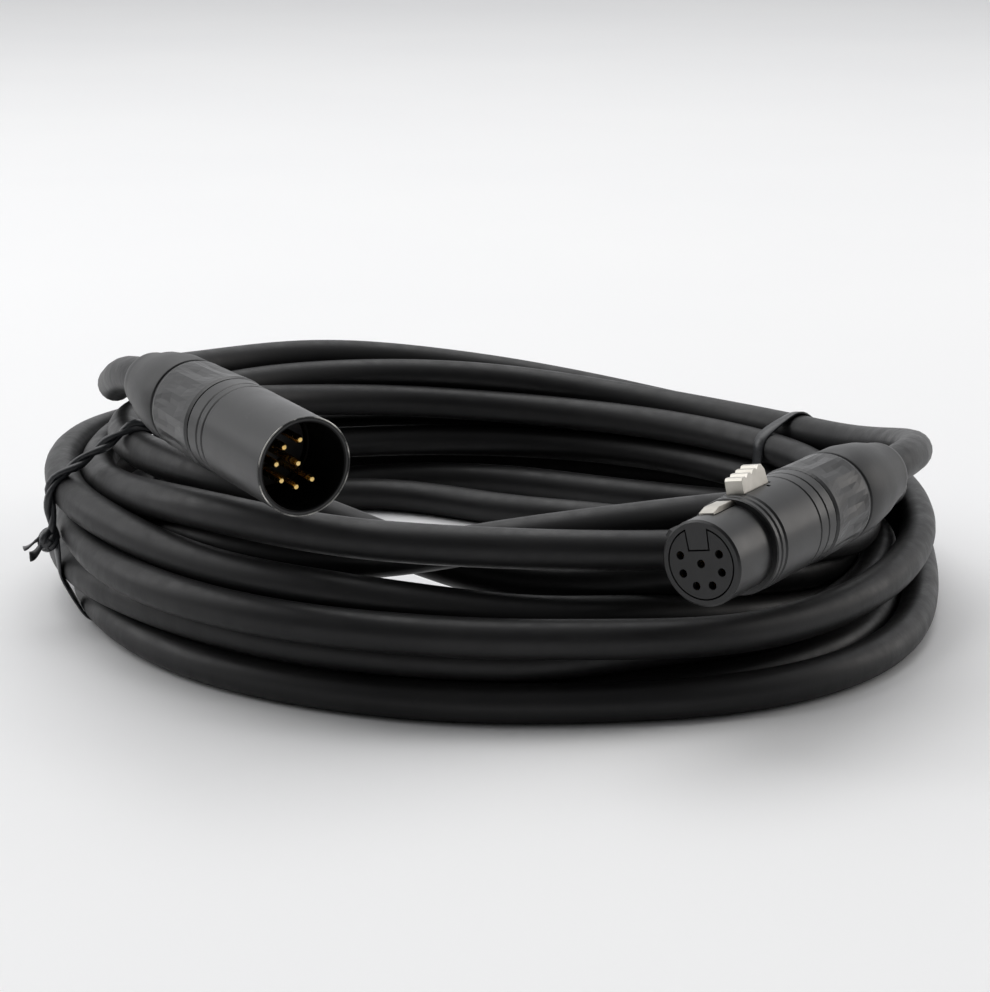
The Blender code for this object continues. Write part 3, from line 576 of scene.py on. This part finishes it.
def bridge(first, second):
    """A curve that joins two lines end to start, in their own directions."""
    start, end = first[-1], second[0]
    reach = np.linalg.norm(end - start)
    leaving = (start - first[-2]) / np.linalg.norm(start - first[-2]) * reach
    arriving = (second[1] - end) / np.linalg.norm(second[1] - end) * reach
    t = np.linspace(0.0, 1.0, BRIDGE_POINTS + 2)[1:-1, None]
    return hermite(t, start, leaving, end, arriving)


def near_pairs(place):
    """The pairs of points that are near each other, but not along the cable."""
    gap = place[:, None, :] - place[None, :, :]
    near = (gap**2).sum(axis=2) < (STRAND_ROOM + SEARCH_ROOM) ** 2
    return np.nonzero(np.triu(near, SKIPPED_POINTS))


def push_apart(place, pairs):
    """How far each point moves to bring its pairs one strand's room apart."""
    first, second = pairs
    gap = place[first] - place[second]
    apart = np.linalg.norm(gap, axis=1)
    deep = np.maximum(STRAND_ROOM - apart, 0.0)
    way = gap / np.maximum(apart, 1e-9)[:, None] * (deep * 0.5)[:, None]
    push = np.zeros_like(place)
    hits = np.zeros(len(place))
    for ends, sign in ((first, 1.0), (second, -1.0)):
        np.add.at(push, ends, sign * way)
        np.add.at(hits, ends, deep > 0)
    return push / np.maximum(hits, 1.0)[:, None] ** 0.5


def stiffen(place):
    """How far each point moves to make the bend change evenly."""
    bend = np.zeros_like(place)
    bend[1:-1] = (place[:-2] + place[2:]) / 2 - place[1:-1]
    move = np.zeros_like(place)
    move[1:-1] = bend[1:-1] - (bend[:-2] + bend[2:]) / 2
    return move


def settle(drawn, held):
    """Strands push each other one diameter apart, rest on the floor, and keep smooth."""
    place = drawn.copy()
    free = np.ones(len(place), bool)
    free[:held] = False
    free[-held:] = False
    for turn in range(SETTLE_ROUNDS):
        if turn % SEARCH_EVERY == 0:
            pairs = near_pairs(place)
        place[free] += push_apart(place, pairs)[free]
        pull = EARLY_PULL if turn < SETTLE_ROUNDS * EARLY_SHARE else LATE_PULL
        place[free] += (drawn - place)[free] * pull
        for _ in range(STIFFENINGS):
            place[free] += stiffen(place)[free] * 0.5
        place[free, 2] = np.maximum(place[free, 2], CABLE_RADIUS)
    return place


def cable_route():
    start, coil, end = drawn_route()
    whole = np.concatenate([start, bridge(start, coil), coil, bridge(coil, end), end])
    whole = even(whole, RING_STEP)
    held = int((MALE_LENGTH - MALE_JACKET_END + HELD_RUN) / RING_STEP)
    return even(settle(whole, held), RING_STEP)


# ---------------------------------------------------------------- mesh helpers

CAP_EDGE = math.radians(50.0)


def place_object(name, mesh, material):
    obj = bpy.data.objects.new(name, mesh)
    bpy.context.scene.collection.objects.link(obj)
    mesh.materials.append(material)
    return obj


def smooth_object(name, vertices, faces, material):
    """A smooth-shaded object from its vertices and faces, with its normals turned outward."""
    mesh = bpy.data.meshes.new(name)
    mesh.from_pydata(vertices, [], faces)
    bm = bmesh.new()
    bm.from_mesh(mesh)
    bmesh.ops.recalc_face_normals(bm, faces=bm.faces)
    bm.to_mesh(mesh)
    bm.free()
    mesh.shade_smooth()
    return place_object(name, mesh, material)


def tube_object(name, path, radius, sides, material, swell=1.0):
    """A round tube with flat caps along a path. The radius may swell and shrink along it."""
    tangent = np.gradient(path, axis=0)
    tangent /= np.linalg.norm(tangent, axis=1)[:, None]
    normals = [np.cross(tangent[0], [0.0, 0.0, 1.0])]
    normals[0] /= np.linalg.norm(normals[0])
    for direction in tangent[1:]:
        normal = normals[-1] - direction * (normals[-1] @ direction)
        normals.append(normal / np.linalg.norm(normal))
    across = np.cross(tangent, normals)
    turn = np.linspace(0.0, 2 * np.pi, sides, endpoint=False)
    radii = (radius * swell * np.ones(len(path)))[:, None, None]
    rings = (
        path[:, None, :]
        + radii * np.cos(turn)[None, :, None] * np.array(normals)[:, None, :]
        + radii * np.sin(turn)[None, :, None] * across[:, None, :]
    )
    index = np.arange(len(path) * sides).reshape(len(path), sides)
    after = np.roll(index, -1, axis=1)
    quads = np.stack([index[:-1], after[:-1], after[1:], index[1:]], axis=-1).reshape(-1, 4)
    faces = quads.tolist() + [index[0, ::-1].tolist(), index[-1].tolist()]
    tube = smooth_object(name, rings.reshape(-1, 3).tolist(), faces, material)
    tube.data.set_sharp_from_angle(angle=CAP_EDGE)
    return tube


def ribbon_object(name, middle, across, normal, width):
    """A flat ribbon with rounded edges along a line of middle points."""
    rings = [
        [m + a * (u * width) + n * (v * RIBBON_THICKNESS) for u, v in RIBBON_PROFILE]
        for m, a, n in zip(middle, across, normal)
    ]
    count, sides = len(rings), len(RIBBON_PROFILE)
    faces = [tuple(range(sides))[::-1], tuple(range((count - 1) * sides, count * sides))]
    for k in range(count - 1):
        for j in range(sides):
            i = (j + 1) % sides
            faces.append((k * sides + j, k * sides + i, (k + 1) * sides + i, (k + 1) * sides + j))
    vertices = [tuple(point) for ring in rings for point in ring]
    return smooth_object(name, vertices, faces, LOOKS["tie_ribbon"])


def build_cable():
    route = cable_route()
    cable = tube_object("cable", route, CABLE_RADIUS, TUBE_SIDES, LOOKS["cable_jacket"])
    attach(cable, "cable")
    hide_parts("coil", "male_lead", "female_lead")
    on_it = ["female_shell", "female_insert", "female_bushing", "female_boot", "female_chuck", "latch_lever"]
    on_it += [f"female_contact_{k}" for k in range(1, 8)] + ["latch_pin", "latch_spring"]
    return route


# ---------------------------------------------------------------- the ties

LEFT_TIE = math.radians(200.0)
RIGHT_TIE = math.radians(32.0)
STACK_INSIDE = 0.074
STACK_TOP = 0.045

RIBBON_WIDTH = 0.0034
RIBBON_THICKNESS = 0.0006
RIBBON_REACH = CABLE_RADIUS + RIBBON_THICKNESS * 0.5 + 0.0001
RIBBON_LOWEST = 0.0007
RIBBON_STEP = 0.0012
RIBBON_PROFILE = (
    (-0.5, 0.0),
    (-0.42, 0.5),
    (0.0, 0.62),
    (0.42, 0.5),
    (0.5, 0.0),
    (0.42, -0.5),
    (-0.42, -0.5),
)
DISC_POINTS = 40

# The knot's place is (radius, height). Its loops are (tilt, size), its tails (rise, sideways, length).
KNOT_PLACE = (0.0985, 0.0195)
KNOT_OUT = 0.0016
KNOT_RADIUS = 0.00095
KNOT_SIDES = 10
KNOT_LOOPS = ((0.3, 0.0019), (1.5, 0.0017), (2.5, 0.0018))
TAILS = ((-0.0013, -0.0016, 0.0052), (-0.0026, 0.0022, 0.0046))
TAIL_WIDTH = 0.0022

TWIST_RADIUS = 0.00078
TWIST_SHARE = 0.42
TWIST_TURNS = 3.5

RIM_RADIUS = 0.00940
RIM_WIRE = 0.00013
RIM_DEPTH = 0.00004
RIM_SIDES = 8


def frame_at(angle):
    """Outward, upward and sideways at an angle round the coil."""
    out = np.array([math.cos(angle), math.sin(angle), 0.0])
    return out, np.array([0.0, 0.0, 1.0]), np.array([-out[1], out[0], 0.0])


def crossings(route, angle):
    """Where the cable's turns cross the upright half-plane at an angle, as (radius, height)."""
    out, _, side = frame_at(angle)
    place = route - np.array(COIL_CENTRE)
    across = place @ side
    found = []
    for k in np.nonzero(across[:-1] * across[1:] <= 0)[0]:
        t = across[k] / (across[k] - across[k + 1])
        spot = place[k] * (1 - t) + place[k + 1] * t
        if spot @ out > STACK_INSIDE and spot[2] < STACK_TOP:
            found.append((spot @ out, spot[2]))
    return found


def half_hull(points):
    """One side of the convex outline of sorted points."""
    chain = []
    for q in points:
        while len(chain) > 1:
            a, b = chain[-2:]
            if (b[0] - a[0]) * (q[1] - a[1]) - (b[1] - a[1]) * (q[0] - a[0]) > 0:
                break
            chain.pop()
        chain.append(q)
    return chain[:-1]


def loop_round(centres):
    """The tight loop round the strands, as evenly spaced (radius, height) points, counter-clockwise."""
    discs = set()
    for radius, height in centres:
        for t in np.linspace(0.0, 2 * np.pi, DISC_POINTS, endpoint=False):
            rise = height + RIBBON_REACH * math.sin(t)
            discs.add((radius + RIBBON_REACH * math.cos(t), max(rise, RIBBON_LOWEST)))
    cloud = sorted(discs)
    hull = np.array(half_hull(cloud) + half_hull(cloud[::-1]))
    ring = np.vstack([hull, hull[:1]])
    return even(np.column_stack([ring, np.zeros(len(ring))]), RIBBON_STEP)[:-1, :2]


def in_world(points, angle, sideways=0.0):
    """Points given as (radius, height) in the upright plane at an angle, moved sideways out of it."""
    out, up, side = frame_at(angle)
    lean = sideways * np.ones(len(points))
    return np.array(COIL_CENTRE) + points[:, :1] * out + points[:, 1:2] * up + lean[:, None] * side


def loop_normal(ahead, angle):
    """The direction away from the strands, from the direction along a loop in (radius, height)."""
    out, up, _ = frame_at(angle)
    ahead = ahead / np.linalg.norm(ahead, axis=1)[:, None]
    return ahead[:, 1:] * out - ahead[:, :1] * up


def loop_ribbon(name, loop, angle, start=0.0, lean=0.0):
    """A loop from a share of its length to its end, as a ribbon that wrinkles a little."""
    side = frame_at(angle)[2]
    count = len(loop)
    picks = np.arange(int(start * count), count + 1)
    normal = loop_normal(loop[(picks + 1) % count] - loop[(picks - 1) % count], angle)
    sway = lean * np.sin(picks / count * 2 * np.pi) + 0.0004 * np.sin(picks * 0.45)
    twist = 0.22 * np.sin(picks * 0.31 + 1.0)[:, None]
    across = side * np.cos(twist) + normal * np.sin(twist)
    face = normal * np.cos(twist) - side * np.sin(twist)
    return ribbon_object(name, in_world(loop[picks % count], angle, sway), across, face, RIBBON_WIDTH)


def twisted_pair(name, points, angle):
    """Two strands of the tie wound about each other along a line."""
    side = frame_at(angle)[2]
    normal = loop_normal(np.gradient(points, axis=0), angle)
    phase = np.linspace(0.0, TWIST_TURNS * 2 * np.pi, len(points))
    pieces = []
    for half in range(2):
        wind = (phase + half * np.pi)[:, None]
        lift = np.cos(wind) * normal + np.sin(wind) * side
        path = in_world(points, angle) + lift * TWIST_RADIUS * 0.8 + normal * TWIST_RADIUS * 0.7
        swell = 1.0 + 0.18 * np.sin(phase * 1.7 + half)
        look = LOOKS["tie_ribbon"]
        pieces.append(tube_object(f"{name}_{half + 1}", path, TWIST_RADIUS, KNOT_SIDES, look, swell))
    return pieces


def build_knot(centre):
    out, up, side = frame_at(LEFT_TIE)
    turn = np.linspace(0.0, 2 * np.pi, 25)[:, None]
    pieces = []
    for k, (tilt, size) in enumerate(KNOT_LOOPS):
        rise = math.cos(tilt) * up + math.sin(tilt) * side
        reach = out * 0.75 + (math.cos(tilt + 1.4) * up + math.sin(tilt + 1.4) * side) * 0.65
        path = centre + size * (np.cos(turn) * rise + np.sin(turn) * reach)
        name = f"left_tie_knot_{k + 1}"
        pieces.append(tube_object(name, path, KNOT_RADIUS, KNOT_SIDES, LOOKS["tie_ribbon"]))
    return pieces


def build_tails(centre):
    out, up, side = frame_at(LEFT_TIE)
    t = np.linspace(0.0, 1.0, 12)[:, None]
    pieces = []
    for k, (rise, sideways, length) in enumerate(TAILS):
        climb = rise * t + 0.0007 * np.sin(t * 5.0 + k)
        line = centre + out * (length * t) + up * climb + side * (sideways * t)
        turned = 0.5 + 1.2 * k + t * 1.1
        across = np.cos(turned) * up + np.sin(turned) * side
        normal = -np.sin(turned) * up + np.cos(turned) * side
        pieces.append(ribbon_object(f"left_tie_tail_{k + 1}", line, across, normal, TAIL_WIDTH))
    return pieces


def build_left_tie(route):
    """A ribbon round the outside of the stack, twisted inside it, with a knot where it is tied."""
    out, up, _ = frame_at(LEFT_TIE)
    loop = loop_round(crossings(route, LEFT_TIE))
    knot = int(np.argmin(np.linalg.norm(loop - np.array(KNOT_PLACE), axis=1)))
    loop = np.roll(loop, -knot, axis=0)
    twisted = int(TWIST_SHARE * len(loop))
    centre = np.array(COIL_CENTRE) + out * (loop[0][0] + KNOT_OUT) + up * loop[0][1]
    ribbon = loop_ribbon("left_tie_ribbon", loop, LEFT_TIE, twisted / len(loop), lean=-0.0008)
    pair = twisted_pair("left_tie_twist", loop[: twisted + 2], LEFT_TIE)
    return [ribbon, *pair, *build_knot(centre), *build_tails(centre)]


def build_ties(route):
    left = build_left_tie(route)
    right = loop_ribbon("right_tie_ribbon", loop_round(crossings(route, RIGHT_TIE)), RIGHT_TIE)
    for piece in [*left, right]:
        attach(piece, "cable")
    for piece in left:
        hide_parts("left_tie")
    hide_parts("right_tie")


def build_worn_rim():
    """The thin bright line round the male mouth, where the paint has rubbed off."""
    turn = np.linspace(0.0, 2 * np.pi, 97)
    path = [MALE @ Vector((RIM_RADIUS * math.cos(t), RIM_RADIUS * math.sin(t), -RIM_DEPTH)) for t in turn]
    rim = tube_object("male_rim_wear", np.array(path), RIM_WIRE, RIM_SIDES, LOOKS["rim_wear"])
    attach(rim, "cable")


# ---------------------------------------------------------------- the stage


FLOOR_HALF = 14.0

WORLD_COLOUR = (0.95, 0.955, 0.97, 1.0)
WORLD_FADE = {"From Min": -0.9, "From Max": 0.8, "To Min": 0.10, "To Max": 0.95}

# Each area light as (name, place, aim, size, watts, colour).
LIGHTS = (
    ("top", (-0.30, 0.60, 1.80), (0.0, 0.1, 0.0), (2.2, 1.4), 20.0, (1.0, 1.0, 1.0)),
    ("back", (-1.6, 3.6, 2.6), (-0.8, 2.4, 0.0), (5.0, 3.0), 8.0, (1.0, 1.0, 1.0)),
    ("left", (-1.2, 0.2, 0.7), (0.0, 0.0, 0.02), (0.5, 0.9), 4.0, (1.0, 1.0, 1.0)),
    ("right", (1.3, 0.4, 0.5), (0.0, 0.0, 0.02), (0.4, 0.8), 2.5, (1.0, 0.95, 0.9)),
)


def build_floor():
    mesh = bpy.data.meshes.new("floor")
    corners = [(x * FLOOR_HALF, y * FLOOR_HALF, 0.0) for x, y in ((-1, -1), (1, -1), (1, 1), (-1, 1))]
    mesh.from_pydata(corners, [], [(0, 1, 2, 3)])
    place_object("floor", mesh, floor_material())


def build_world():
    """A pale room, brighter behind the coil than in front, where it is dark."""
    world = bpy.data.worlds.new("studio")
    bpy.context.scene.world = world
    world.use_nodes = True
    nodes, links = world.node_tree.nodes, world.node_tree.links
    nodes["Background"].inputs["Color"].default_value = WORLD_COLOUR
    split = nodes.new("ShaderNodeSeparateXYZ")
    links.new(nodes.new("ShaderNodeTexCoord").outputs["Generated"], split.inputs[0])
    fade = nodes.new("ShaderNodeMapRange")
    fade.interpolation_type = "SMOOTHSTEP"
    for socket, value in WORLD_FADE.items():
        fade.inputs[socket].default_value = value
    links.new(split.outputs["Y"], fade.inputs["Value"])
    links.new(fade.outputs["Result"], nodes["Background"].inputs["Strength"])


def build_lights():
    for name, place, aim, size, watts, colour in LIGHTS:
        data = bpy.data.lights.new(name, "AREA")
        data.shape = "RECTANGLE"
        data.size, data.size_y = size
        data.energy = watts
        data.color = colour
        light = bpy.data.objects.new(name, data)
        bpy.context.scene.collection.objects.link(light)
        light.location = place
        light.rotation_euler = (Vector(aim) - Vector(place)).to_track_quat("-Z", "Y").to_euler()


def build_camera():
    data = bpy.data.cameras.new("camera")
    data.lens = CAMERA_LENS
    data.sensor_width = SENSOR
    data.sensor_fit = "HORIZONTAL"
    camera = bpy.data.objects.new("camera", data)
    bpy.context.scene.collection.objects.link(camera)
    camera.location = CAMERA_PLACE
    camera.rotation_euler = (math.radians(90.0) - CAMERA_DOWN, 0.0, 0.0)
    bpy.context.scene.camera = camera
    bpy.context.scene.view_settings.view_transform = "Standard"


finish_nodes()
build_floor()
build_world()
build_lights()
build_camera()
build_ties(build_cable())
build_worn_rim()
soften_nodes()
